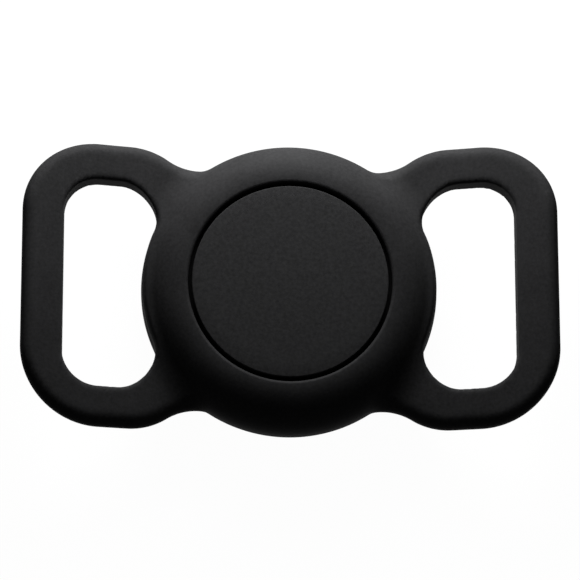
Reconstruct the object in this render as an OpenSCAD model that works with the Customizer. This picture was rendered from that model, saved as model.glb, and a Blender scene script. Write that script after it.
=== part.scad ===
// Soft collar holder for a coin-shaped tracker tag, with the tag in its pocket.
// X runs along the collar strap, Y across it, and +Z is the side of the pocket's mouth.
// The origin is on the flat underside, below the centre of the pocket.

/* [Holder] */
// Thickness of the pocket's wall round the tag
pocket_wall = 2.95; // [2:0.05:3.6]
// Thickness of the closed floor under the tag
floor_t = 2.1; // [1.6:0.1:3]
// Width of the gap between the battery door and the mouth that it shows through
mouth_gap = 0.5; // [0.3:0.05:1]
// Thickness of the lip that holds the tag in
lip_t = 1.15; // [0.9:0.05:1.6]
// Radius of the rounding on the inner edge of the lip
lip_edge_r = 0.3; // [0.1:0.05:0.7]
// Radius of the shoulder between the lip and the flank
shoulder_r = 5.5; // [4:0.1:6]
// Radius of the rounding round the underside
base_edge_r = 4.2; // [2:0.1:4.6]
// Clearance between the soft pocket and the tag
pocket_gap = 0.1; // [0.05:0.05:0.3]

/* [Strap loops] */
// How far a loop reaches past the pocket's wall
loop_out = 15.05; // [14:0.05:23]
// Width of the band across the strap
band_w = 37; // [35:0.2:40]
// Thickness of the band
band_t = 3.4; // [2.6:0.1:4.2]
// Width of the bar at the end of a loop
end_bar_w = 5.2; // [3.5:0.1:7]
// Width of an arm beside the slot
arm_w = 5; // [3.5:0.1:6.5]
// Outer radius of a loop's corner
corner_r = 9.7; // [7:0.1:12]
// Length of an arm's straight outer edge
arm_straight = 3.7; // [2:0.1:6]
// Radius of an arm's outer edge where it turns towards the pocket
arm_turn_r = 9.5; // [6:0.1:12]
// Angle that an arm's outer edge turns through there
arm_turn_angle = 31; // [20:1:45]
// Radius of a slot's corners
slot_corner_r = 4.5; // [3:0.1:6]
// How far the pocket bulges over a slot's inner edge
slot_cover = 1.5; // [0.8:0.1:2]
// Radius of the rounding on a slot's edges
slot_edge_r = 0.45; // [0.2:0.05:0.8]
// Radius of the fillets between the arms and the pocket
fillet_r = 2.8; // [1:0.1:3.2]
// Radius that the band is bent to, so that it lies round a neck
bend_r = 83.7; // [65:0.1:160]
// Height of the middle of the band's thickness at the pocket's centre
band_z = 4.1; // [3.4:0.1:5]

/* [Tag case] */
// How far the case reaches past the battery door's edge, all round
ring_rim = 3.45; // [3.2:0.05:4]
// Thickness of the case's side wall
case_wall = 1.2; // [0.9:0.1:1.4]
// Thickness of the case's floor, which is also the sounder's diaphragm
case_floor = 0.9; // [0.6:0.1:1.2]
// Radius of the rounding round the back of the case
back_edge_r = 3.2; // [2.4:0.1:3.4]
// Radius of the rounding round the front of the case
front_edge_r = 3; // [2:0.1:3.2]
// Height of the bayonet ring that closes the case
ring_h = 1.7; // [1.5:0.1:2]

/* [Battery door] */
// Thickness of the door's plate
door_t = 0.85; // [0.6:0.05:1.2]
// Radius of the rounding on the door's edge
door_edge_r = 0.15; // [0.05:0.05:0.5]
// Depth of the groove that darkens the gap round the door
groove_depth = 1; // [0.4:0.1:1.2]
// Thickness of the skirt under the door
skirt_t = 0.8; // [0.5:0.1:0.9]
// How far a bayonet lug stands out of the skirt
lug_out = 0.7; // [0.5:0.05:0.8]
// Thickness of a bayonet lug
lug_t = 0.6; // [0.4:0.05:0.7]
// Angle that a bayonet lug covers
lug_angle = 26; // [16:1:27]
// Angle that the door turns between locked and open
door_turn = 30; // [29:1:35]
// Thickness of the ring's flange over the lugs
flange_t = 0.65; // [0.5:0.05:0.75]
// Height of the space for the seal under the door's plate
seal_space = 0.3; // [0.2:0.05:0.5]
// Thickness of the foam pad between the door and the cell
pad_t = 0.6; // [0.3:0.05:0.9]

/* [Coin cell] */
// Diameter of the coin cell, which sets the size of the tag and of the pocket
cell_d = 20; // [18:0.1:22]
// Height of the coin cell
cell_h = 3.2; // [2.6:0.1:3.4]
// Thickness of the sheet that the cell's can and cap are drawn from
can_t = 0.25; // [0.15:0.05:0.35]
// How far the cell's cap stands out of its can
cap_stand = 0.3; // [0.2:0.05:0.4]
// Radial thickness of the gasket between the cap and the can
cell_gasket_t = 0.8; // [0.5:0.1:1]
// Thickness of the lithium disc
lithium_t = 0.6; // [0.4:0.1:0.8]

/* [Electronics] */
// Room between the circuit board's edge and the case's wall
board_room = 1.75; // [1.2:0.05:1.9]
// Thickness of the circuit board
board_t = 0.6; // [0.4:0.1:0.8]
// Height of the shield can, the tallest part on the board
shield_h = 0.85; // [0.7:0.05:1.1]
// Thickness of the tray's floor under the cell
tray_floor = 0.5; // [0.4:0.1:0.8]
// Thickness of the tray's wall round the cell
tray_wall = 0.9; // [0.6:0.1:1]
// Thickness of the contact springs
leaf_t = 0.15; // [0.1:0.05:0.2]
// Radius of the sounder's magnet
magnet_r = 3.5; // [2.5:0.1:3.8]
// Thickness of the sounder's magnet
magnet_h = 0.9; // [0.6:0.05:1]
// Radial thickness of the sounder's coil
coil_t = 0.7; // [0.4:0.1:0.9]
// Thickness of the yoke's sheet
yoke_t = 0.4; // [0.3:0.05:0.5]
// Height of the antenna ring
antenna_h = 1.7; // [1:0.1:1.8]
// Width of the chips
chip_w = 2.8; // [2:0.1:3.2]
// Number of capacitors round the board's inner edge
capacitors = 12; // [6:1:16]

/* [Hidden] */
$fn = 96;

// Clearances inside the tag, and the overrun of a cut past the face it opens
seat_gap = 0.05;
run_gap = 0.1;
part_gap = 0.2;
overrun = 1;

// Least height of the straight flank between two rounded edges
flank_min = 0.1;

// Heights of the tag's layers, from its back to its door
tag_z = floor_t + pocket_gap;
case_in_z = tag_z + case_floor;
board_z = case_in_z + part_gap + shield_h;
tray_z = board_z + board_t + seat_gap;
leaf_z = tray_z + tray_floor;
cell_z = leaf_z + leaf_t + seat_gap;
cell_top_z = cell_z + cell_h;
door_z = cell_top_z + seat_gap + pad_t;
tag_top_z = door_z + door_t;
ring_top_z = door_z - seal_space;
part_z = ring_top_z - ring_h;
flange_z = ring_top_z - flange_t;
lug_z = flange_z - seat_gap - lug_t;

// Heights of the pocket
lip_z = ring_top_z + pocket_gap;
crest_z = lip_z + lip_t;

// Rounded edges, each limited by the wall that it runs along
shoulder_fit_r = min(shoulder_r, crest_z - base_edge_r - flank_min);
front_fit_r = min(front_edge_r, ring_top_z - tag_z - back_edge_r - flank_min);
case_in_edge_r = back_edge_r - case_wall;

// Radii from the coin cell outwards: the contact leaves beside it, the door's skirt, the
// lugs that the door's plate reaches past, the case and the holder
cell_r = cell_d / 2;
leaf_r = cell_r + run_gap;
leaf_room = 0.15;
skirt_in_r = leaf_r + leaf_t + leaf_room;
skirt_r = skirt_in_r + skirt_t;
lug_cover = 0.6;
door_r = skirt_r + lug_out + lug_cover;
mouth_r = door_r + mouth_gap;
tag_r = door_r + ring_rim;
case_in_r = tag_r - case_wall;
pocket_r = tag_r + pocket_gap;
holder_r = pocket_r + pocket_wall;
loop_reach = holder_r + loop_out;

// Radii of the tray
tray_in_r = leaf_r + leaf_t + part_gap;
tray_out_r = tray_in_r + tray_wall;
tray_r = case_in_r - run_gap;

// The lugs, with their play in the track
lugs = 3;
lug_step = 360 / lugs;
lug_play = 1;
flange_r = skirt_r + run_gap;
track_r = skirt_r + lug_out + run_gap;

// The seal's edges stay back from the flange's edge and from the door's
seal_in_r = flange_r + part_gap;
seal_out_r = door_r - part_gap;

// The groove under the gap round the door
groove_in_r = seal_out_r + seat_gap;
groove_out_r = mouth_r + part_gap;

// The coin cell's inner pieces
cell_inner_r = cell_r - can_t;
cap_r = cell_inner_r - cell_gasket_t - 2 * seat_gap;
cap_h_share = 0.55;
cap_top_z = cell_z + cell_h * cap_h_share;
crimp_r = cap_r + run_gap;
crimp_z = cell_z + cap_stand;
lithium_z = cell_z + can_t + seat_gap;
separator_t = 0.1;
separator_z = lithium_z + lithium_t + seat_gap;
cathode_z = separator_z + separator_t + seat_gap;
pellet_r = cap_r - can_t - seat_gap;

// The sounder, between the case's floor and the tray
coil_gap = 0.35;
coil_in_r = magnet_r + coil_gap;
yoke_r = coil_in_r + coil_t + coil_gap + yoke_t;
yoke_z = tray_z - seat_gap - yoke_t;
magnet_z = yoke_z - magnet_h;

// The board, and the antenna ring on its edge
board_in_r = yoke_r + part_gap;
board_r = case_in_r - board_room;
antenna_side_gap = 0.35;
antenna_in_r = tray_out_r + part_gap;
antenna_out_r = case_in_r - antenna_side_gap;
antenna_top_z = tray_z + antenna_h;
trace_t = 0.1;
trace_edge = 0.6;
trace_angle = 96;
tray_flange_z = antenna_top_z + trace_t + 2 * seat_gap;

// The parts under the board: their place along the radius, and their sizes
capacitor_w = 0.5;
capacitor_size = [capacitor_w, 1, capacitor_w];
capacitor_r = board_in_r + capacitor_w;
parts_r = (board_in_r + board_r) / 2 + capacitor_w;
shield_margin = 1.15;
shield_l = 7.6;
shield_size = [board_r - board_in_r - 2 * shield_margin, shield_l, shield_h];
shield_sheet_t = 0.15;
shield_angle = 200;
radio_room = 0.65;
radio_l = 3.6;
radio_h = 0.5;
radio_size = [shield_size[0] - 2 * (shield_sheet_t + radio_room), radio_l, radio_h];
chip_h = 0.65;
chip_angles = [50, 100, 320];
crystal_size = [1.6, 2, 0.6];
crystal_angle = 265;

// The contact springs
contact_r = 3.2;
contact_strip_w = 2;
contact_leg_r = board_in_r + 2 * capacitor_w + part_gap;
leaf_angle = 24;
leaf_leg_angle = 10;
leaf_top_z = part_z - part_gap;
leaf_place_angles = [30, 150, 270];
leg_play_angle = 1;

// Places in the plan of a loop: the distance along the strap, and the distance across
corner_at = [loop_reach - corner_r, band_w / 2 - corner_r];
arm_turn_at = [corner_at[0] - arm_straight, band_w / 2 - arm_turn_r];
slot_in = holder_r - slot_cover;
slot_across = band_w / 2 - arm_w - slot_corner_r;
slot_inner_at = [slot_in + slot_corner_r, slot_across];
slot_outer_at = [loop_reach - end_bar_w - slot_corner_r, slot_across];

// The band thickens where it grows out of the pocket: by how much, and over what distance
flare_h_share = 0.3;
flare_reach_share = 0.85;

// How far the root's fillets run into the pocket's flank
root_sink = 0.3;

// Share of the half thickness that rounds the band's edges
edge_share = 0.97;

// Steps of the band's shape, and points round each half of its section
fillet_steps = 5;
turn_steps = 5;
corner_steps = 10;
half_points = 8;

// A place in the plan, on the face of the bent band that lies w off its middle
function bent(p, w) =
    [p[0], p[1], band_z + bend_r - sqrt(pow(bend_r - w, 2) - pow(p[0], 2))];

// Points along an arc round c
function arc(c, r, a0, a1, steps) =
    [for (i = [0:steps]) let (a = a0 + (a1 - a0) * i / steps) c + r * [cos(a), sin(a)]];

// Direction of a vector, from 0 to 360
function heading(v) = (atan2(v[1], v[0]) + 360) % 360;

// Centre of the fillet between the pocket's flank and the slanting edge of an arm
function fillet_at() =
    let (
        out = [-sin(arm_turn_angle), cos(arm_turn_angle)],
        off = out * arm_turn_at + arm_turn_r + fillet_r,
        flank = holder_r - root_sink + fillet_r
    )
    off * out + sqrt(flank * flank - off * off) * [out[1], -out[0]];

// Half of a loop's outer edge, from inside the pocket's wall to the end bar
function outer_edge() =
    let (
        f = fillet_at(),
        from_pocket = arc(f, fillet_r, heading(-f), 270 + arm_turn_angle, fillet_steps)
    )
    concat(
        [from_pocket[0] * pocket_r / holder_r],
        from_pocket,
        arc(arm_turn_at, arm_turn_r, 90 + arm_turn_angle, 90, turn_steps),
        arc(corner_at, corner_r, 90, 0, corner_steps)
    );

// Half of a slot's edge, with as many points as the outer edge
function slot_edge() =
    concat(
        [[slot_in, slot_across / 2]],
        arc(slot_inner_at, slot_corner_r, 180, 90, fillet_steps + turn_steps + 1),
        arc(slot_outer_at, slot_corner_r, 90, 0, corner_steps)
    );

// The same edge on the other side of the strap, in reverse
function mirrored(edge) =
    [for (i = [len(edge) - 1:-1:0]) [edge[i][0], -edge[i][1]]];

// Thickness of the band where the middle of its section is at distance r from the pocket
function band_t_at(r) =
    let (left = 1 - (r - holder_r + fillet_r / 2) / (fillet_r * flare_reach_share))
    band_t + 2 * fillet_r * flare_h_share * pow(min(max(left, 0), 1), 2);

// Section of the band between a point of its round outer edge and one of the slot's edge
function band_section(outer, inner) =
    let (
        half_w = norm(outer - inner) / 2,
        across = (outer - inner) / (2 * half_w),
        half_t = band_t_at(norm(outer + inner) / 2) / 2,
        outer_r = min(half_w, half_t) * edge_share,
        slot_r = min(slot_edge_r, half_t / 2),
        slot_points = half_points / 2
    )
    concat(
        [for (k = [0:half_points - 1])
            let (a = -90 + 180 * k / (half_points - 1))
            bent(outer - outer_r * (1 - cos(a)) * across, half_t * sin(a))],
        [for (side = [1, -1], k = [0:slot_points - 1])
            let (turn = 90 * k / (slot_points - 1), a = side > 0 ? 90 - turn : turn)
            bent(
                inner + slot_r * (1 - cos(a)) * across,
                side * (half_t - slot_r * (1 - sin(a)))
            )]
    );

// Solid through a row of sections with the same number of points
module skin(sections) {
    rows = len(sections);
    n = len(sections[0]);
    last = (rows - 1) * n;
    polyhedron(
        points = [for (s = sections) each s],
        faces = concat(
            [for (i = [1:n - 2]) [0, i, i + 1]],
            [for (i = [1:n - 2]) [last, last + i + 1, last + i]],
            [for (r = [0:rows - 2], i = [0:n - 1])
                let (j = (i + 1) % n) [r * n + i, (r + 1) * n + i, (r + 1) * n + j]],
            [for (r = [0:rows - 2], i = [0:n - 1])
                let (j = (i + 1) % n) [r * n + i, (r + 1) * n + j, r * n + j]]
        )
    );
}

// The strap loop on the +X side
module strap_loop() {
    outer = outer_edge();
    inner = slot_edge();
    all_outer = concat(outer, mirrored(outer));
    all_inner = concat(inner, mirrored(inner));
    skin([for (i = [0:len(all_outer) - 1]) band_section(all_outer[i], all_inner[i])]);
}

// Quarter of a round that fills a corner towards +x and +y
module quarter(r) {
    intersection() {
        circle(r);
        square(r);
    }
}

// Half section of a disc whose lower and upper edges are rounded
module round_section(r, z0, z1, low_r, high_r) {
    translate([0, z0 + low_r]) square([r, z1 - z0 - low_r - high_r]);
    translate([0, z0]) square([r - low_r, low_r]);
    translate([0, z1 - high_r]) square([r - high_r, high_r]);
    translate([r - low_r, z0 + low_r]) mirror([0, 1]) quarter(low_r);
    translate([r - high_r, z1 - high_r]) quarter(high_r);
}

// Half section of a ring with square edges
module band_2d(r0, r1, z0, z1) {
    translate([r0, z0]) square([r1 - r0, z1 - z0]);
}

// Ring with square edges
module ring(r0, r1, z0, z1) {
    rotate_extrude() band_2d(r0, r1, z0, z1);
}

// Part of such a ring that starts at angle a0 and covers angle a
module arc_ring(r0, r1, z0, z1, a0, a) {
    rotate([0, 0, a0]) rotate_extrude(angle = a) band_2d(r0, r1, z0, z1);
}

// Half section of the tag's outside
module tag_section() {
    round_section(tag_r, tag_z, ring_top_z, back_edge_r, front_fit_r);
}

// Block that stands on the origin
module block(size) {
    translate([-size[0] / 2, -size[1] / 2, 0]) cube(size);
}

// Place of a part under the board, at angle a and radius r, built towards the case's floor
module under_board(a, r) {
    rotate([0, 0, a]) translate([r, 0, board_z - seat_gap]) mirror([0, 0, 1]) children();
}

// Half section of the space for the tag, and of the mouth with its rounded edge
module pocket_section() {
    round_section(
        pocket_r, floor_t, lip_z, back_edge_r + pocket_gap, front_fit_r + pocket_gap
    );
    band_2d(0, mouth_r, lip_z - overrun, crest_z + overrun);
    difference() {
        band_2d(mouth_r, mouth_r + lip_edge_r, crest_z - lip_edge_r, crest_z + overrun);
        translate([mouth_r + lip_edge_r, crest_z - lip_edge_r]) circle(lip_edge_r);
    }
}

module holder_body() {
    color("#2a2a2c")
        difference() {
            union() {
                rotate_extrude()
                    round_section(holder_r, 0, crest_z, base_edge_r, shoulder_fit_r);
                strap_loop();
                mirror([1, 0, 0]) strap_loop();
            }
            rotate_extrude() pocket_section();
        }
}

module case_shell() {
    color("#1d1d1f")
        rotate_extrude()
            difference() {
                tag_section();
                round_section(
                    case_in_r, case_in_z, ring_top_z + case_in_edge_r,
                    case_in_edge_r, case_in_edge_r
                );
                band_2d(0, tag_r + overrun, part_z - seat_gap, ring_top_z + overrun);
            }
}

// Space that one lug turns in, open at the notch where the lug comes in
module lug_track() {
    start = -lug_angle / 2 - lug_play;
    difference() {
        arc_ring(
            flange_r - overrun, track_r, part_z - overrun, ring_top_z + overrun,
            start, door_turn + lug_angle + 2 * lug_play
        );
        arc_ring(
            flange_r - 2 * overrun, track_r + overrun, flange_z, ring_top_z + 2 * overrun,
            start - lug_play, door_turn + lug_play
        );
    }
}

module bayonet_ring() {
    color("#1d1d1f")
        difference() {
            rotate_extrude()
                intersection() {
                    tag_section();
                    band_2d(flange_r, tag_r + overrun, part_z, ring_top_z);
                }
            rotate_extrude()
                band_2d(
                    groove_in_r, groove_out_r, ring_top_z - groove_depth, ring_top_z + overrun
                );
            for (i = [0:lugs - 1]) rotate([0, 0, i * lug_step]) lug_track();
        }
}

module battery_door() {
    color("#262628")
        union() {
            rotate_extrude() {
                band_2d(0, door_r - door_edge_r, door_z, tag_top_z);
                band_2d(door_r - door_edge_r, door_r, door_z, tag_top_z - door_edge_r);
                translate([door_r - door_edge_r, tag_top_z - door_edge_r]) quarter(door_edge_r);
                band_2d(skirt_in_r, skirt_r, lug_z, door_z);
            }
            for (i = [0:lugs - 1])
                arc_ring(
                    skirt_r - skirt_t / 2, skirt_r + lug_out, lug_z, lug_z + lug_t,
                    i * lug_step - lug_angle / 2, lug_angle
                );
        }
}

module door_seal() {
    color("#3c3c40") ring(seal_in_r, seal_out_r, ring_top_z + seat_gap, door_z - seat_gap);
}

module door_pad() {
    color("#4a4a4e")
        ring(0, skirt_in_r - part_gap, cell_top_z + seat_gap, door_z - seat_gap);
}

module cell_can() {
    color("#c8cacd")
        rotate_extrude() {
            band_2d(0, cell_r, cell_top_z - can_t, cell_top_z);
            band_2d(cell_inner_r, cell_r, crimp_z, cell_top_z);
            band_2d(crimp_r, cell_r, crimp_z, crimp_z + can_t);
        }
}

module cell_cap() {
    color("#b9bcc0")
        rotate_extrude() {
            band_2d(0, cap_r, cell_z, cell_z + can_t);
            band_2d(cap_r - can_t, cap_r, cell_z, cap_top_z);
        }
}

module cell_gasket() {
    color("#e4e0d4")
        ring(
            cap_r + seat_gap, cell_inner_r - seat_gap,
            crimp_z + can_t + seat_gap, cap_top_z + seat_gap
        );
}

module cell_lithium() {
    color("#9aa0a6") ring(0, pellet_r, lithium_z, lithium_z + lithium_t);
}

module cell_separator() {
    color("#f0efe8") ring(0, pellet_r, separator_z, separator_z + separator_t);
}

module cell_cathode() {
    color("#2e2b29") ring(0, pellet_r, cathode_z, cell_top_z - can_t - seat_gap);
}

module battery_tray() {
    color("#3a3a3e")
        difference() {
            rotate_extrude() {
                band_2d(0, tray_out_r, tray_z, leaf_z);
                band_2d(tray_in_r, tray_out_r, tray_z, part_z - seat_gap);
                band_2d(tray_in_r, tray_r, tray_flange_z, part_z - seat_gap);
            }
            translate([contact_leg_r - leaf_t - run_gap, -contact_strip_w / 2 - run_gap, tray_z - overrun])
                cube([leaf_t + 2 * run_gap, contact_strip_w + 2 * run_gap, tray_floor + 2 * overrun]);
            for (a = leaf_place_angles)
                arc_ring(
                    leaf_r - run_gap, leaf_r + leaf_t + run_gap, tray_z - overrun, leaf_z + overrun,
                    a - leaf_leg_angle / 2 - leg_play_angle, leaf_leg_angle + 2 * leg_play_angle
                );
        }
}

module negative_contact() {
    color("#c2a25a") {
        ring(0, contact_r, leaf_z, leaf_z + leaf_t);
        translate([0, -contact_strip_w / 2, leaf_z])
            cube([contact_leg_r, contact_strip_w, leaf_t]);
        translate([contact_leg_r - leaf_t, -contact_strip_w / 2, tray_z])
            cube([leaf_t, contact_strip_w, tray_floor + leaf_t]);
    }
}

// One positive contact: a leaf beside the cell, with a narrow leg down to the board
module positive_leaf() {
    side_angle = (leaf_angle - leaf_leg_angle) / 2;
    difference() {
        arc_ring(leaf_r, leaf_r + leaf_t, tray_z, leaf_top_z, -leaf_angle / 2, leaf_angle);
        for (side = [0, 1])
            mirror([0, side, 0])
                arc_ring(
                    leaf_r - overrun, leaf_r + leaf_t + overrun,
                    tray_z - overrun, leaf_z + seat_gap,
                    leaf_leg_angle / 2, side_angle + leg_play_angle
                );
    }
}

module positive_contacts() {
    color("#c2a25a")
        for (a = leaf_place_angles) rotate([0, 0, a]) positive_leaf();
}

module circuit_board() {
    color("#1f5b3a") ring(board_in_r, board_r, board_z, board_z + board_t);
}

module shield_can() {
    inner = shield_size - 2 * [shield_sheet_t, shield_sheet_t, 0];
    color("#c4c6c9")
        under_board(shield_angle, parts_r)
            difference() {
                block(shield_size);
                translate([0, 0, -overrun]) block(inner + [0, 0, overrun - shield_sheet_t]);
            }
}

module radio_chip() {
    color("#17171a") under_board(shield_angle, parts_r) block(radio_size);
}

module board_chips() {
    color("#17171a")
        for (a = chip_angles) under_board(a, parts_r) block([chip_w, chip_w, chip_h]);
}

module board_capacitors() {
    color("#a98a63")
        for (i = [0:capacitors - 1])
            under_board(i * 360 / capacitors, capacitor_r) block(capacitor_size);
}

module crystal() {
    color("#d8d9db") under_board(crystal_angle, parts_r) block(crystal_size);
}

module voice_coil() {
    color("#b4652f")
        ring(coil_in_r, coil_in_r + coil_t, case_in_z + seat_gap, yoke_z - part_gap);
}

module speaker_magnet() {
    color("#8d9095") ring(0, magnet_r, magnet_z, yoke_z - seat_gap);
}

module magnet_yoke() {
    color("#a5a8ad")
        rotate_extrude() {
            band_2d(0, yoke_r, yoke_z, yoke_z + yoke_t);
            band_2d(yoke_r - yoke_t, yoke_r, magnet_z, yoke_z + yoke_t);
        }
}

module antenna_ring() {
    color("#55565a") ring(antenna_in_r, antenna_out_r, tray_z, antenna_top_z);
}

module antenna_traces() {
    color("#c58a4a")
        for (i = [0:lugs - 1])
            arc_ring(
                antenna_in_r + trace_edge, antenna_out_r - trace_edge,
                antenna_top_z + seat_gap, antenna_top_z + seat_gap + trace_t,
                i * lug_step, trace_angle
            );
}

holder_body();
case_shell();
bayonet_ring();
battery_door();
door_seal();
door_pad();
cell_can();
cell_cap();
cell_gasket();
cell_lithium();
cell_separator();
cell_cathode();
battery_tray();
negative_contact();
positive_contacts();
circuit_board();
shield_can();
radio_chip();
board_chips();
board_capacitors();
crystal();
voice_coil();
speaker_magnet();
magnet_yoke();
antenna_ring();
antenna_traces();
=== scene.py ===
"""The looks of a soft collar holder for a coin-shaped tracker tag.

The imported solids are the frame. This file adds the smooth moulded body and the turned
battery door over them, gives every piece its finish, and sets up the studio.
Lengths are in metres, in the frame's own axes: X along the strap, Z out of the mouth.
"""

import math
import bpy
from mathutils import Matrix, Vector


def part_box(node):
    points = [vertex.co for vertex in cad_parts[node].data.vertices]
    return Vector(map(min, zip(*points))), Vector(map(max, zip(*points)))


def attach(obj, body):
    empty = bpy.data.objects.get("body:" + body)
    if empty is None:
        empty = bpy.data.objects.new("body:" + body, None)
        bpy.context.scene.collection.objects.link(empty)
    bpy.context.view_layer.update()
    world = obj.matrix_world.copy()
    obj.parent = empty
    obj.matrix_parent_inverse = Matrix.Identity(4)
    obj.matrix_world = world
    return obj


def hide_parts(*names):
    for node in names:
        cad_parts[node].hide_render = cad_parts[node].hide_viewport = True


bl_info = {
    "name": "Tracker Tag Holder",
    "version": (1, 0, 0),
    "blender": (4, 5, 0),
    "location": "View3D > Sidebar > Tag Holder",
    "description": "Builds the holder's moulded body, the tag's finishes and the studio",
    "category": "Object",
}

import bmesh
import bpy
import numpy as np
from bpy.props import FloatProperty, FloatVectorProperty, PointerProperty
from mathutils import Matrix, Vector

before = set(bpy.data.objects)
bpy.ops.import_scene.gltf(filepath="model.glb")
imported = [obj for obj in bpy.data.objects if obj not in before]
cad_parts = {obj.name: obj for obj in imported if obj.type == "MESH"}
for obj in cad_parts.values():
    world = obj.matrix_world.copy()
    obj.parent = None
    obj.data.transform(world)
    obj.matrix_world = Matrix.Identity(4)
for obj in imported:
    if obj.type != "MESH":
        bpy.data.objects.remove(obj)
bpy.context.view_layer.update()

MM = 0.001

# Side of the picture, and the picture's point that the camera is aimed at, in pixels
PICTURE_PX = 580
AIM_PX = (288.822, 291.712)

# Step for comparing slopes, in metres
NUDGE = 1e-6

# Grid of the moulded body round its axis: stretches of start, end and step in millimetres,
# finer round the lip, and the number of steps in a turn
BODY_RADII = ((0.0, 12.4, 1.1), (12.47, 13.9, 0.12), (14.0, 19.3, 0.27), (19.55, 37.0, 0.38))
BODY_HEIGHTS = ((-0.45, 8.7, 0.29), (8.97, 10.5, 0.12), (10.75, 13.2, 0.29))
BODY_TURNS = 400
BODY_SHARP = math.radians(50)

# Square lamps, all aimed at the origin: name, place, side and watts
LAMPS = (
    ("low_softbox", (0.0, 0.148, 0.026), 0.08, 0.493),
    ("near_softbox", (0.0, 0.069, 0.04), 0.05, 0.108),
)
WORLD_STRENGTH = 0.07

# The floor: half its side, how far it lies under the object, and the share and strength of
# the white that the camera, glossy and transmission rays see in it
FLOOR_HALF = 1.5
FLOOR_DROP = 0.02 * MM
FLOOR_WHITE_SHARE = 0.85
FLOOR_WHITE_STRENGTH = 1.15

# The door, in metres and radians: rounding of its edge, thickness of its plate, radius and
# wall of its skirt, and its lugs' reach, height, half angle and number
DOOR_EDGE = 0.15 * MM
DOOR_PLATE = 0.85 * MM
DOOR_SKIRT = 11.2 * MM
DOOR_WALL = 0.8 * MM
LUG_REACH = 0.7 * MM
LUG_HEIGHT = 0.6 * MM
LUG_HALF = math.radians(13)
LUGS = 3
DOOR_STEPS = 288
# Angle between the two rows of points at a lug's steep end
LUG_GAP = 1e-5


def length(name, description, value_mm):
    """A length property whose default is given in millimetres."""
    return FloatProperty(
        name=name, description=description, default=value_mm * MM, unit="LENGTH", precision=5
    )


def colour(name, description, *rgb):
    """A colour property whose default is given in linear values."""
    return FloatVectorProperty(
        name=name, description=description, default=rgb, subtype="COLOR", size=3,
        min=0.0, max=1.0,
    )


class HolderSizes(bpy.types.PropertyGroup):
    """Sizes of the moulded body. The loops' places are measured in the plan."""

    radius: length("Pocket radius", "Outside radius of the round pocket", 19.0)
    crest: length("Crest height", "Height of the lip above the underside", 10.3)
    shoulder: length("Shoulder", "Radius of the shoulder beside the lip", 5.5)
    base_edge: length("Base edge", "Radius of the rounding round the underside", 4.2)
    mouth: length("Mouth radius", "Radius of the mouth", 13.0)
    lip_edge: length("Lip edge", "Radius of the rounding on the lip's inner edge", 0.4)
    lip_under: length("Lip's underside", "Height of the lip's underside", 9.15)
    pocket: length("Inner radius", "Radius of the space for the tag", 16.05)
    pocket_floor: length("Floor", "Height of the floor of the space for the tag", 2.1)
    pocket_low: length("Floor rounding", "Radius between the floor and the wall", 3.3)
    pocket_high: length("Lip rounding", "Radius between the wall and the lip", 3.1)
    bend: length("Bend", "Radius that the band is bent to", 80.86)
    band_height: length("Band height", "Height of the band's middle at the centre", 3.918)
    band: length("Band thickness", "Thickness of the band", 3.4)
    band_edge: length("Band edge", "Radius of the band's round outer edges", 1.65)
    reach: length("Reach", "Distance from the centre to the end of a loop", 34.03)
    half_width: length("Half width", "Half the width of the band", 18.49)
    corner: length("Corner radius", "Outer radius of a loop's corner", 9.7)
    turn_at: length("Arm's turn", "Where an arm's outer edge starts to turn inwards", 20.57)
    turn: length("Turn radius", "Radius of that turn", 9.02)
    turn_angle: FloatProperty(
        name="Turn angle", description="Angle that an arm's outer edge turns through",
        default=math.radians(34.13), subtype="ANGLE",
    )
    slot_end: length("Slot's end", "Distance from the centre to a slot's straight end", 28.85)
    slot_half: length("Slot's half length", "Half the length of a slot", 13.52)
    slot_corner: length("Slot corner radius", "Radius of a slot's outer corners", 4.55)
    slot_edge: length("Slot edge", "Radius of the rounding on a slot's edges", 0.45)
    root_ring: length("Root ring", "Radius that the arms' roots run into, in the plan", 18.82)
    root: length("Root fillet", "Fillet at an arm's root on the slot's side, in the plan", 4.5)
    notch: length("Notch fillet", "The same fillet on the loop's outer side", 5.5)
    top_root: length("Top fillet", "Fillet between an arm's faces and the pocket", 3.0)


class Finishes(bpy.types.PropertyGroup):
    """Colours of the pieces, in linear values."""

    silicone: colour("Silicone", "Soft moulded body", 0.0155, 0.0155, 0.016)
    door: colour("Door", "Battery door in the mouth", 0.018, 0.018, 0.0185)
    # The case is darker than the door and the silicone: partly its own black, partly painted
    # shade that darkens the gap round the door
    case: colour("Case", "Tag's case and its bayonet ring", 0.004, 0.004, 0.0042)
    floor: colour("Floor", "Studio floor", 0.3, 0.3, 0.3)


class StudioSettings(bpy.types.PropertyGroup):
    """Place, angles and scale of the camera."""

    distance: length("Camera distance", "From the aimed point to the camera", 400.0)
    aim_height: length("Aim height", "Height of the aimed point above the floor", 4.4)
    elevation: FloatProperty(
        name="Elevation", description="Camera's angle above the floor",
        default=math.radians(75.87), subtype="ANGLE",
    )
    turn: FloatProperty(
        name="Turn", description="Camera's turn round the upright axis",
        default=math.radians(-8.315), subtype="ANGLE",
    )
    roll: FloatProperty(
        name="Roll", description="Camera's roll about its own axis",
        default=math.radians(8.482), subtype="ANGLE",
    )
    pixels_per_metre: FloatProperty(
        name="Pixels per metre", description="Scale of the picture at the aimed point",
        default=7770.0,
    )


# Shapes


def rounded_corner(along, up, radius):
    """Distance to a quarter plane whose corner is rounded: negative where both are below 0.

    Inside it is the larger of the two distances, outside it is their hypotenuse, and the
    radius is taken off both."""
    inside = np.minimum(np.maximum(along, up), 0.0)
    outside = np.hypot(np.maximum(along, 0.0), np.maximum(up, 0.0))
    return inside + outside - radius


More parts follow.
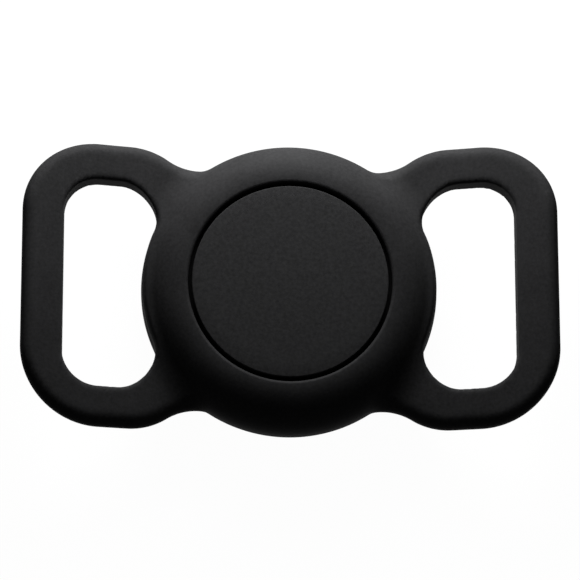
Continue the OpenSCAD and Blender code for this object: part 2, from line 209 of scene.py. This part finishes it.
def rounded_disc(r, z, radius, bottom, top, low, high):
    """Distance to an upright disc whose lower and upper edges have the radii low and high."""
    upper = rounded_corner(r - (radius - high), z - (top - high), high)
    lower = rounded_corner(r - (radius - low), (bottom + low) - z, low)
    return np.maximum(upper, lower)


def filleted_union(a, b, radius, alike=0.0):
    """Distance to two joined shapes, with the fillet of a ball rolled along both.

    `alike` is the dot product of their slopes. The ball's centre lies `radius` off both, so
    the distance to it is that in the skewed axes which the two slopes make, and the ball
    counts only between the places where it touches."""
    u, v = radius - a, radius - b
    alike = np.clip(alike, -0.9, 0.995)
    between = (u > alike * v) & (v > alike * u)
    ball = np.sqrt(np.maximum(u * u + v * v - 2 * alike * u * v, 0.0) / (1 - alike * alike))
    nearest = np.minimum(a, b)
    return np.where(between, np.minimum(radius - ball, nearest), nearest)


def rounded_cut(a, b, radius):
    """Distance to shape a without shape b, with the edge between them rounded."""
    return -filleted_union(-a, b, radius)


def rolled_union(first, second, radius, points):
    """Distance to two joined shapes, given as functions, with a true fillet between them.

    Their slopes are compared only near the place where both surfaces are close."""
    a, b = first(points), second(points)
    joined = np.minimum(a, b)
    near = (a < 2 * radius) & (b < 2 * radius) & (joined > -radius)
    spots = points[near]
    alike = np.zeros(len(spots))
    for axis in np.eye(points.shape[-1]) * NUDGE:
        alike += (first(spots + axis) - a[near]) * (second(spots + axis) - b[near])
    joined[near] = filleted_union(a[near], b[near], radius, alike / NUDGE**2)
    return joined


def turned_edge(along, across, radius, angle):
    """Distance to a straight edge that turns off by an angle, along an arc round the origin.

    The edge faces +across. Where `along` is below 0 and the arc's own sector is reached, it
    is the distance to the arc, and elsewhere the larger distance to the two straights."""
    slant = -along * math.sin(angle) + across * math.cos(angle)
    past = -along * math.cos(angle) - across * math.sin(angle)
    in_sector = (along < 0) & (past < 0)
    straight = np.maximum(across, slant)
    return np.where(in_sector, np.hypot(along, across), straight) - radius


def loop_edge(size, plan):
    """Distance in the plan to a loop's outer edge: its corner, its arm and its end."""
    along, across = np.abs(plan[..., 0]), np.abs(plan[..., 1])
    corner = rounded_corner(
        along - (size.reach - size.corner), across - (size.half_width - size.corner), size.corner
    )
    arm = turned_edge(
        along - size.turn_at, across - (size.half_width - size.turn), size.turn,
        size.turn_angle,
    )
    return np.maximum(corner, arm)


def slot_edge(size, plan):
    """Distance in the plan to a slot's edge, negative in the band."""
    along, across = np.abs(plan[..., 0]), np.abs(plan[..., 1])
    return -rounded_corner(
        along - (size.slot_end - size.slot_corner),
        across - (size.slot_half - size.slot_corner), size.slot_corner,
    )


def band_distance(size, points):
    """Distance to the band with its two slots, which run into the pocket with fillets.

    Its faces are bent round a line parallel to Y above the holder, so the place through it
    is the distance from the bent middle. Its edges and slots are cut straight down."""
    plan = points[..., :2]
    rise = size.band_height + size.bend - points[..., 2]
    through = np.abs(size.bend - np.hypot(points[..., 0], rise)) - size.band / 2
    sides = []
    for edge, fillet, rounding in (
        (loop_edge, size.notch, size.band_edge), (slot_edge, size.root, size.slot_edge)
    ):
        side = rolled_union(
            lambda spots: np.hypot(spots[..., 0], spots[..., 1]) - size.root_ring,
            lambda spots: edge(size, spots), fillet, plan,
        )
        sides.append(rounded_corner(side + rounding, through + rounding, rounding))
    return np.maximum(*sides)


def dome_distance(size, points):
    """Distance to the round pocket's outside."""
    r = np.hypot(points[..., 0], points[..., 1])
    return rounded_disc(
        r, points[..., 2], size.radius, 0.0, size.crest, size.base_edge, size.shoulder
    )


def body_distance(size, points):
    """Distance to the moulded body: pocket and band joined, less the mouth and the pocket."""
    outside = rolled_union(
        lambda spots: dome_distance(size, spots), lambda spots: band_distance(size, spots),
        size.top_root, points,
    )
    r, z = np.hypot(points[..., 0], points[..., 1]), points[..., 2]
    mouth = np.maximum(r - size.mouth, size.lip_under - size.lip_edge - z)
    space = rounded_disc(
        r, z, size.pocket, size.pocket_floor, size.lip_under, size.pocket_low,
        size.pocket_high,
    )
    return np.maximum(rounded_cut(outside, mouth, size.lip_edge), -space)


def gradient(distance, points, step=2e-6):
    """Slope of a distance along X, Y and Z, from central differences."""
    sides = []
    for axis in np.eye(3) * step:
        sides.append((distance(points + axis) - distance(points - axis)) / (2 * step))
    return np.stack(sides, -1)


def drawn_to_surface(distance, points, rounds=8, reach=3e-4):
    """Points moved onto the surface where the distance is zero, by Newton's steps down the
    slope, none of them longer than `reach`."""
    for _ in range(rounds):
        slope = gradient(distance, points)
        steepness = np.maximum((slope * slope).sum(-1), 1e-3)
        step = np.clip(distance(points) / steepness, -reach, reach)
        points = points - step[:, None] * slope
    return points


def surface_net(distance, radii, turns, heights):
    """Closed quad surface where the distance is zero, on a grid round the Z axis.

    Each cell whose corners lie on both sides gets one point, drawn onto the surface, and
    each grid edge that crosses the surface joins the four cells round it with a quad. The
    innermost cells share the axis as their pole."""
    angles = np.arange(turns) * (2 * math.pi / turns)
    r, a, z = np.meshgrid(radii, angles, heights, indexing="ij")
    inside = distance(np.stack((r * np.cos(a), r * np.sin(a), z), -1)) < 0
    ahead = np.roll(inside, -1, 1)
    corners = [
        part[low:high, :, near:far]
        for part in (inside, ahead)
        for low, high in ((None, -1), (1, None))
        for near, far in ((None, -1), (1, None))
    ]
    count = np.sum(corners, axis=0)
    crossed = (count > 0) & (count < 8)
    index = np.full(crossed.shape, -1)
    index[crossed] = np.arange(crossed.sum())

    i, j, k = np.nonzero(crossed)
    middle_r = (radii[i] + radii[i + 1]) / 2
    middle_a = angles[j] + math.pi / turns
    middle_z = (heights[k] + heights[k + 1]) / 2
    start = np.stack(
        (middle_r * np.cos(middle_a), middle_r * np.sin(middle_a), middle_z), -1
    )
    points = drawn_to_surface(distance, start)
    points[i == 0, :2] = 0.0

    behind = np.roll(index, 1, 1)
    along_r = inside[:-1, :, 1:-1], inside[1:, :, 1:-1], (
        behind[:, :, :-1], index[:, :, :-1], index[:, :, 1:], behind[:, :, 1:]
    )
    along_a = inside[1:-1, :, 1:-1], ahead[1:-1, :, 1:-1], (
        index[:-1, :, :-1], index[:-1, :, 1:], index[1:, :, 1:], index[1:, :, :-1]
    )
    along_z = inside[1:-1, :, :-1], inside[1:-1, :, 1:], (
        behind[:-1], behind[1:], index[1:], index[:-1]
    )
    quads = []
    for near, far, cells in (along_r, along_a, along_z):
        ring = np.stack(cells, -1)
        quads.append(ring[near & ~far])
        quads.append(ring[far & ~near][:, ::-1])
    return points, np.concatenate(quads)


def graded(stretches):
    """Grid places in metres, from stretches of start, end and step in millimetres."""
    return np.concatenate([np.arange(*stretch) for stretch in stretches]) * MM


def turned_surface(profile_r, profile_z, angles):
    """Closed surface of a profile turned round the Z axis.

    profile_r holds one radius for each angle and profile point, so that a stretch of the
    profile can stand out over part of the turn. The profile runs from the axis round the
    outside and back to the axis."""
    rows, columns = profile_r.shape
    points = np.stack(
        (
            profile_r * np.cos(angles)[:, None],
            profile_r * np.sin(angles)[:, None],
            np.broadcast_to(profile_z, profile_r.shape),
        ),
        -1,
    ).reshape(-1, 3)
    row, column = np.meshgrid(np.arange(rows), np.arange(columns - 1), indexing="ij")
    here = row * columns + column
    there = (row + 1) % rows * columns + column
    quads = np.stack((here, here + 1, there + 1, there), -1).reshape(-1, 4)
    return points, quads


def new_piece(name, points, faces, sharp=math.radians(35)):
    """Mesh object from arrays of points and faces, with its doubles merged."""
    mesh = bpy.data.meshes.new(name)
    mesh.from_pydata(points.tolist(), [], faces.tolist())
    work = bmesh.new()
    work.from_mesh(mesh)
    bmesh.ops.remove_doubles(work, verts=work.verts, dist=1e-7)
    bmesh.ops.dissolve_degenerate(work, edges=work.edges, dist=1e-8)
    work.to_mesh(mesh)
    work.free()
    piece = bpy.data.objects.new(name, mesh)
    bpy.context.scene.collection.objects.link(piece)
    mesh.shade_smooth()
    mesh.set_sharp_from_angle(angle=sharp)
    return piece


def mount_piece(piece, body, finish, replaced):
    """Gives a finished piece its body, material slot, finish and the node it stands for."""
    piece.data.materials.clear()
    piece.data.materials.append(finish)
    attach(piece, body)
    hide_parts(replaced)


# Finishes


class Signal:
    """A shader socket that takes part in Python expressions on values."""

    def __init__(self, finish, socket):
        self.finish = finish
        self.socket = socket

    def _joined(self, operation, first, second):
        return self.finish.add(
            "ShaderNodeMath", {"operation": operation}, {0: first, 1: second}
        )

    def __add__(self, other):
        return self._joined("ADD", self, other)

    def __rsub__(self, other):
        return self._joined("SUBTRACT", other, self)

    def __mul__(self, other):
        return self._joined("MULTIPLY", self, other)

    __radd__ = __add__
    __rmul__ = __mul__


class Finish:
    """A material in the making, with its surface shader."""

    def __init__(self, name, surface=()):
        self.material = bpy.data.materials.new(name)
        self.material.use_nodes = True
        self.tree = self.material.node_tree
        self.tree.nodes.clear()
        output = self.tree.nodes.new("ShaderNodeOutputMaterial")
        self.surface = self.tree.nodes.new("ShaderNodeBsdfPrincipled")
        self.tree.links.new(self.surface.outputs[0], output.inputs["Surface"])
        for socket, value in dict(surface).items():
            self.set(socket, value)
        place = self.tree.nodes.new("ShaderNodeTexCoord")
        self.place = Signal(self, place.outputs["Object"])

    def set(self, socket, value):
        """Sets or links one socket of the surface shader."""
        self._feed(self.surface.inputs[socket], value)

    def _feed(self, socket, value):
        if isinstance(value, Signal):
            self.tree.links.new(value.socket, socket)
        elif socket.type == "RGBA" and len(value) == 3:
            socket.default_value = (*value, 1.0)
        else:
            socket.default_value = value

    def add(self, kind, settings, inputs, output=0):
        """Adds a node: its settings first, then its sockets' values or links."""
        node = self.tree.nodes.new(kind)
        for name, value in settings.items():
            if name == "stops":
                ramp = node.color_ramp.elements
                for stop, (position, grey) in zip(ramp, value):
                    stop.position = position
                    stop.color = (grey, grey, grey, 1.0)
            else:
                setattr(node, name, value)
        for key, value in inputs.items():
            self._feed(node.inputs[key], value)
        return Signal(self, node.outputs[output])

    def noise(self, size, detail=2.0, roughness=0.5):
        """Noise from 0 to 1 whose blobs have the given size in metres."""
        return self.add(
            "ShaderNodeTexNoise", {},
            {"Vector": self.place, "Scale": 1.0 / size, "Detail": detail, "Roughness": roughness},
        )

    def specks(self, size, width):
        """Small soft dots, each 1 at its centre, spread over the surface."""
        cells = self.add(
            "ShaderNodeTexVoronoi", {"feature": "F1"}, {"Vector": self.place, "Scale": 1.0 / size}
        )
        return self.add("ShaderNodeValToRGB", {"stops": ((0.0, 1.0), (width, 0.0))}, {0: cells})

    def mixed(self, factor, first, second):
        """Colour between two colours."""
        return self.add(
            "ShaderNodeMix", {"data_type": "RGBA"}, {0: factor, 6: first, 7: second}, output=2
        )

    def bump(self, height, depth, strength=1.0):
        """Feeds the surface's normal from a height between 0 and 1, `depth` metres deep."""
        normal = self.add(
            "ShaderNodeBump", {}, {"Height": height, "Distance": depth, "Strength": strength}
        )
        self.set("Normal", normal)


def shade(rgb, factor):
    """A colour made darker or lighter."""
    return tuple(min(channel * factor, 1.0) for channel in rgb)


def silicone_finish(rgb):
    """Matte moulded silicone: a fine eroded grain, cloudy depth and a few specks of dust."""
    finish = Finish("moulded_silicone", {"Specular IOR Level": 0.02})
    clouds = finish.noise(6 * MM)
    grain = finish.noise(0.42 * MM, detail=4.0, roughness=0.65)
    dust = finish.specks(1.1 * MM, 0.035)
    tone = finish.mixed(0.3 * clouds + 0.7 * grain, shade(rgb, 0.2), shade(rgb, 1.8))
    finish.set("Base Color", finish.mixed(dust * 0.25, tone, shade(rgb, 4.0)))
    finish.set("Roughness", 0.60 + 0.06 * clouds + 0.05 * grain)
    finish.bump(grain, 0.01 * MM)
    return finish.material


def grained_finish(name, rgb, roughness, grain_size, depth, surface=(), contrast=0.25):
    """Moulded plastic with a fine spark-eroded grain."""
    finish = Finish(name, surface)
    grain = finish.noise(grain_size, detail=4.0, roughness=0.65)
    clouds = finish.noise(9 * MM)
    tone = finish.mixed(grain, shade(rgb, 1 - contrast), shade(rgb, 1 + contrast))
    finish.set("Base Color", tone)
    finish.set("Roughness", roughness + 0.08 * clouds)
    finish.bump(grain, depth)
    return finish.material


def metal_finish(name, rgb, roughness, grain_size):
    """Plated or drawn metal with fine drawing marks and faint stains."""
    finish = Finish(name, {"Metallic": 1.0})
    marks = finish.noise(grain_size, detail=5.0)
    stains = finish.noise(4 * MM)
    finish.set("Base Color", finish.mixed(stains, shade(rgb, 0.85), rgb))
    finish.set("Roughness", roughness + 0.12 * marks)
    finish.bump(marks, 0.003 * MM)
    return finish.material


def fibrous_finish(name, rgb, roughness, pore_size, depth):
    """Foam, fleece, ceramic or pressed powder: open pores and uneven tone."""
    finish = Finish(name)
    pores = finish.add(
        "ShaderNodeTexVoronoi", {"feature": "F1"},
        {"Vector": finish.place, "Scale": 1.0 / pore_size},
    )
    cloud = finish.noise(2 * MM)
    finish.set("Base Color", finish.mixed(cloud, shade(rgb, 0.8), shade(rgb, 1.15)))
    finish.set("Roughness", roughness - 0.1 * pores)
    finish.bump(pores, depth)
    return finish.material


def wound_finish(name, rgb, pitch):
    """Enamelled wire wound round the axis: fine ribs along Z."""
    finish = Finish(name, {"Metallic": 0.7, "Coat Weight": 0.4})
    ribs = finish.add(
        "ShaderNodeTexWave", {"bands_direction": "Z"},
        {"Vector": finish.place, "Scale": 1.0 / pitch / 20, "Distortion": 0.0},
        output="Fac",
    )
    finish.set("Base Color", finish.mixed(ribs, shade(rgb, 0.6), rgb))
    finish.set("Roughness", 0.3 + 0.1 * ribs)
    finish.bump(ribs, 0.02 * MM)
    return finish.material


def dress(finish, *nodes):
    """Gives CAD nodes a finish."""
    for name in nodes:
        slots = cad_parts[name].data.materials
        slots.clear()
        slots.append(finish)


# Operators


class TAGHOLDER_OT_body(bpy.types.Operator):
    """Build the smooth moulded body with its pocket and two strap loops"""

    bl_idname = "tagholder.body"
    bl_label = "Moulded Body"

    def execute(self, context):
        size = context.scene.tag_holder_sizes
        points, quads = surface_net(
            lambda where: body_distance(size, where),
            graded(BODY_RADII), BODY_TURNS, graded(BODY_HEIGHTS),
        )
        piece = new_piece("moulded_body", points, quads, BODY_SHARP)
        finish = silicone_finish(context.scene.tag_holder_finishes.silicone)
        mount_piece(piece, "holder", finish, "holder_body")
        return {"FINISHED"}


class TAGHOLDER_OT_door(bpy.types.Operator):
    """Build the battery door with its rounded edge, skirt and bayonet lugs"""

    bl_idname = "tagholder.door"
    bl_label = "Battery Door"

    def execute(self, context):
        low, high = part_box("battery_door")
        top, bottom, radius = high.z, low.z, high.x
        under, lug_top = top - DOOR_PLATE, bottom + LUG_HEIGHT
        inner = DOOR_SKIRT - DOOR_WALL
        flat = np.linspace(0, radius - DOOR_EDGE, 8)[:-1]
        fall = np.linspace(math.pi / 2, 0, 6)
        round_r = radius - DOOR_EDGE + DOOR_EDGE * np.cos(fall)
        round_z = top - DOOR_EDGE + DOOR_EDGE * np.sin(fall)
        profile = np.concatenate((
            np.stack((flat, np.full(len(flat), top)), -1),
            np.stack((round_r, round_z), -1),
            [(radius, under), (DOOR_SKIRT, under), (DOOR_SKIRT, lug_top)],
            [(DOOR_SKIRT, lug_top), (DOOR_SKIRT, bottom), (DOOR_SKIRT, bottom)],
            [(inner, bottom), (inner, under), (0, under)],
        ))
        # The two points of the profile that stand out over a lug's turn
        outward = np.zeros(len(profile))
        outward[[-5, -6]] = 1.0

        turn = 2 * math.pi / LUGS
        ends = [
            i * turn + side * (LUG_HALF + gap)
            for i in range(LUGS) for side in (-1, 1) for gap in (0, LUG_GAP)
        ]
        angles = np.arange(DOOR_STEPS) * (2 * math.pi / DOOR_STEPS)
        angles = np.sort(np.concatenate((angles, np.mod(ends, 2 * math.pi))))
        from_lug = np.abs(np.mod(angles + turn / 2, turn) - turn / 2)
        on_lug = from_lug < LUG_HALF + LUG_GAP / 2
        radii = profile[:, 0] + np.outer(on_lug * LUG_REACH, outward)
        points, quads = turned_surface(radii, profile[:, 1], angles)
        piece = new_piece("battery_door_turned", points, quads[:, ::-1])
        finish = grained_finish(
            "door_grain", context.scene.tag_holder_finishes.door, 0.6, 0.42 * MM, 0.012 * MM,
            {"Specular IOR Level": 0.02}, contrast=0.65,
        )
        mount_piece(piece, "door", finish, "battery_door")
        return {"FINISHED"}


class TAGHOLDER_OT_case(bpy.types.Operator):
    """Finish the tag's case, its ring, the seal and the pad"""

    bl_idname = "tagholder.case"
    bl_label = "Tag Case"

    def execute(self, context):
        rgb = context.scene.tag_holder_finishes.case
        dress(
            # The case's near-black is partly painted shade: it darkens the ring seen at the
            # bottom of the gap round the door
            grained_finish(
                "case_grain_and_gap_shade", rgb, 0.5, 0.2 * MM, 0.006 * MM, {"Specular IOR Level": 0.1}
            ),
            "case_shell", "bayonet_ring",
        )
        dress(
            grained_finish("seal_rubber", (0.03, 0.03, 0.032), 0.6, 0.1 * MM, 0.004 * MM),
            "door_seal",
        )
        dress(
            fibrous_finish("pad_foam", (0.07, 0.07, 0.075), 0.95, 0.3 * MM, 0.05 * MM),
            "door_pad",
        )
        return {"FINISHED"}


class TAGHOLDER_OT_cell(bpy.types.Operator):
    """Finish the coin cell's pieces"""

    bl_idname = "tagholder.cell"
    bl_label = "Coin Cell"

    def execute(self, context):
        dress(
            metal_finish("cell_steel", (0.62, 0.62, 0.63), 0.28, 0.3 * MM),
            "cell_can", "cell_cap",
        )
        dress(
            grained_finish("cell_gasket", (0.62, 0.58, 0.48), 0.5, 0.2 * MM, 0.003 * MM),
            "cell_gasket",
        )
        dress(metal_finish("lithium", (0.4, 0.42, 0.44), 0.5, 0.5 * MM), "cell_lithium")
        dress(
            fibrous_finish("fleece", (0.75, 0.74, 0.7), 0.95, 0.08 * MM, 0.02 * MM),
            "cell_separator",
        )
        dress(
            fibrous_finish("pressed_powder", (0.03, 0.027, 0.025), 0.9, 0.12 * MM, 0.02 * MM),
            "cell_cathode",
        )
        return {"FINISHED"}


class TAGHOLDER_OT_electronics(bpy.types.Operator):
    """Finish the tray, the contacts, the board with its parts, the sounder and the antenna"""

    bl_idname = "tagholder.electronics"
    bl_label = "Electronics"

    def execute(self, context):
        dress(
            grained_finish("tray_plastic", (0.045, 0.045, 0.05), 0.5, 0.2 * MM, 0.005 * MM),
            "battery_tray", "antenna_ring",
        )
        dress(
            metal_finish("contact_plating", (0.72, 0.55, 0.27), 0.25, 0.15 * MM),
            "negative_contact", "positive_contacts", "antenna_traces",
        )
        dress(
            grained_finish(
                "board_lacquer", (0.012, 0.1, 0.045), 0.3, 0.25 * MM, 0.003 * MM,
                {"Coat Weight": 0.5},
            ),
            "circuit_board",
        )
        dress(
            metal_finish("tinned_sheet", (0.66, 0.67, 0.68), 0.3, 0.2 * MM),
            "shield_can", "crystal",
        )
        dress(
            grained_finish("chip_mould", (0.014, 0.014, 0.015), 0.55, 0.06 * MM, 0.003 * MM),
            "radio_chip", "board_chips",
        )
        dress(
            fibrous_finish("capacitor_ceramic", (0.32, 0.2, 0.11), 0.6, 0.08 * MM, 0.004 * MM),
            "board_capacitors",
        )
        dress(wound_finish("copper_winding", (0.55, 0.22, 0.08), 0.1 * MM), "voice_coil")
        dress(
            metal_finish("magnet_plating", (0.45, 0.46, 0.48), 0.22, 0.3 * MM),
            "speaker_magnet",
        )
        dress(metal_finish("yoke_plating", (0.5, 0.51, 0.53), 0.35, 0.25 * MM), "magnet_yoke")
        return {"FINISHED"}


def area_lamp(name, place, side, watts):
    """Soft square lamp that looks at the origin."""
    data = bpy.data.lights.new(name, "AREA")
    data.shape = "SQUARE"
    data.size = side
    data.energy = watts
    lamp = bpy.data.objects.new(name, data)
    bpy.context.scene.collection.objects.link(lamp)
    lamp.location = place
    lamp.rotation_euler = (-Vector(place)).to_track_quat("-Z", "Y").to_euler()


class TAGHOLDER_OT_stage(bpy.types.Operator):
    """Set up the floor, the lamps, the world and the camera"""

    bl_idname = "tagholder.stage"
    bl_label = "Studio"

    def execute(self, context):
        scene = context.scene
        studio = scene.tag_holder_studio
        self.floor(scene.tag_holder_finishes.floor)
        self.world(scene)
        for lamp in LAMPS:
            area_lamp(*lamp)
        self.camera(scene, studio)
        scene.view_settings.view_transform = "Standard"
        return {"FINISHED"}

    def floor(self, rgb):
        """Pale floor that is white to the camera and keeps the shadow."""
        corners = np.array([(-1, -1), (1, -1), (1, 1), (-1, 1)]) * FLOOR_HALF
        points = np.column_stack((corners, np.full(4, -FLOOR_DROP)))
        floor = new_piece("studio_floor", points, np.array([[0, 1, 2, 3]]))
        finish = Finish("studio_paper", {"Roughness": 0.9, "Specular IOR Level": 0.0})
        fibres = finish.noise(0.8 * MM)
        finish.set("Base Color", finish.mixed(fibres, shade(rgb, 0.98), rgb))
        seen = 0.0
        for ray in ("Is Camera Ray", "Is Glossy Ray", "Is Transmission Ray"):
            seen = seen + finish.add("ShaderNodeLightPath", {}, {}, output=ray)
        white = finish.add(
            "ShaderNodeEmission", {},
            {"Color": (1.0, 1.0, 1.0), "Strength": FLOOR_WHITE_STRENGTH},
        )
        paper = Signal(finish, finish.surface.outputs[0])
        both = finish.add(
            "ShaderNodeMixShader", {}, {0: seen * FLOOR_WHITE_SHARE, 1: paper, 2: white}
        )
        output = finish.tree.nodes["Material Output"]
        finish.tree.links.new(both.socket, output.inputs["Surface"])
        floor.data.materials.append(finish.material)

    def world(self, scene):
        """Plain dim world that fills the shadows a little."""
        world = bpy.data.worlds.new("studio_world")
        world.use_nodes = True
        background = world.node_tree.nodes["Background"]
        background.inputs["Color"].default_value = (1.0, 1.0, 1.0, 1.0)
        background.inputs["Strength"].default_value = WORLD_STRENGTH
        scene.world = world

    def camera(self, scene, studio):
        """Camera at the photograph's angle: turned round Z, raised, then rolled."""
        turn, rise, roll = studio.turn, studio.elevation, studio.roll
        back = Vector((
            math.sin(turn) * math.cos(rise), -math.cos(turn) * math.cos(rise), math.sin(rise)
        ))
        right = Vector((math.cos(turn), math.sin(turn), 0))
        up = back.cross(right)
        across = right * math.cos(roll) + up * math.sin(roll)
        upward = up * math.cos(roll) - right * math.sin(roll)
        place = Vector((0, 0, studio.aim_height)) + back * studio.distance

        data = bpy.data.cameras.new("photo_camera")
        focal_px = studio.pixels_per_metre * studio.distance
        data.sensor_width = 36.0
        data.lens = data.sensor_width * focal_px / PICTURE_PX
        data.shift_x = (PICTURE_PX / 2 - AIM_PX[0]) / PICTURE_PX
        data.shift_y = (AIM_PX[1] - PICTURE_PX / 2) / PICTURE_PX
        data.clip_start = 0.01
        camera = bpy.data.objects.new("photo_camera", data)
        scene.collection.objects.link(camera)
        camera.matrix_world = Matrix.LocRotScale(
            place, Matrix((across, upward, back)).transposed(), None
        )
        scene.camera = camera


class TAGHOLDER_PT_panel(bpy.types.Panel):
    """Lists the operators in the order in which they are used"""

    bl_idname = "TAGHOLDER_PT_panel"
    bl_label = "Tracker Tag Holder"
    bl_space_type = "VIEW_3D"
    bl_region_type = "UI"
    bl_category = "Tag Holder"

    def draw(self, context):
        for operator in OPERATORS:
            self.layout.operator(operator.bl_idname)


GROUPS = {
    "tag_holder_sizes": HolderSizes,
    "tag_holder_finishes": Finishes,
    "tag_holder_studio": StudioSettings,
}
OPERATORS = (
    TAGHOLDER_OT_stage,
    TAGHOLDER_OT_body,
    TAGHOLDER_OT_door,
    TAGHOLDER_OT_case,
    TAGHOLDER_OT_cell,
    TAGHOLDER_OT_electronics,
)


def register():
    for group in GROUPS.values():
        bpy.utils.register_class(group)
    for operator in OPERATORS:
        bpy.utils.register_class(operator)
    bpy.utils.register_class(TAGHOLDER_PT_panel)
    for name, group in GROUPS.items():
        setattr(bpy.types.Scene, name, PointerProperty(type=group))


def unregister():
    for name in GROUPS:
        delattr(bpy.types.Scene, name)
    bpy.utils.unregister_class(TAGHOLDER_PT_panel)
    for operator in reversed(OPERATORS):
        bpy.utils.unregister_class(operator)
    for group in reversed(tuple(GROUPS.values())):
        bpy.utils.unregister_class(group)


def main():
    register()
    bpy.ops.tagholder.stage()
    bpy.ops.tagholder.body()
    bpy.ops.tagholder.door()
    bpy.ops.tagholder.case()
    bpy.ops.tagholder.cell()
    bpy.ops.tagholder.electronics()


if __name__ == "__main__":
    main()
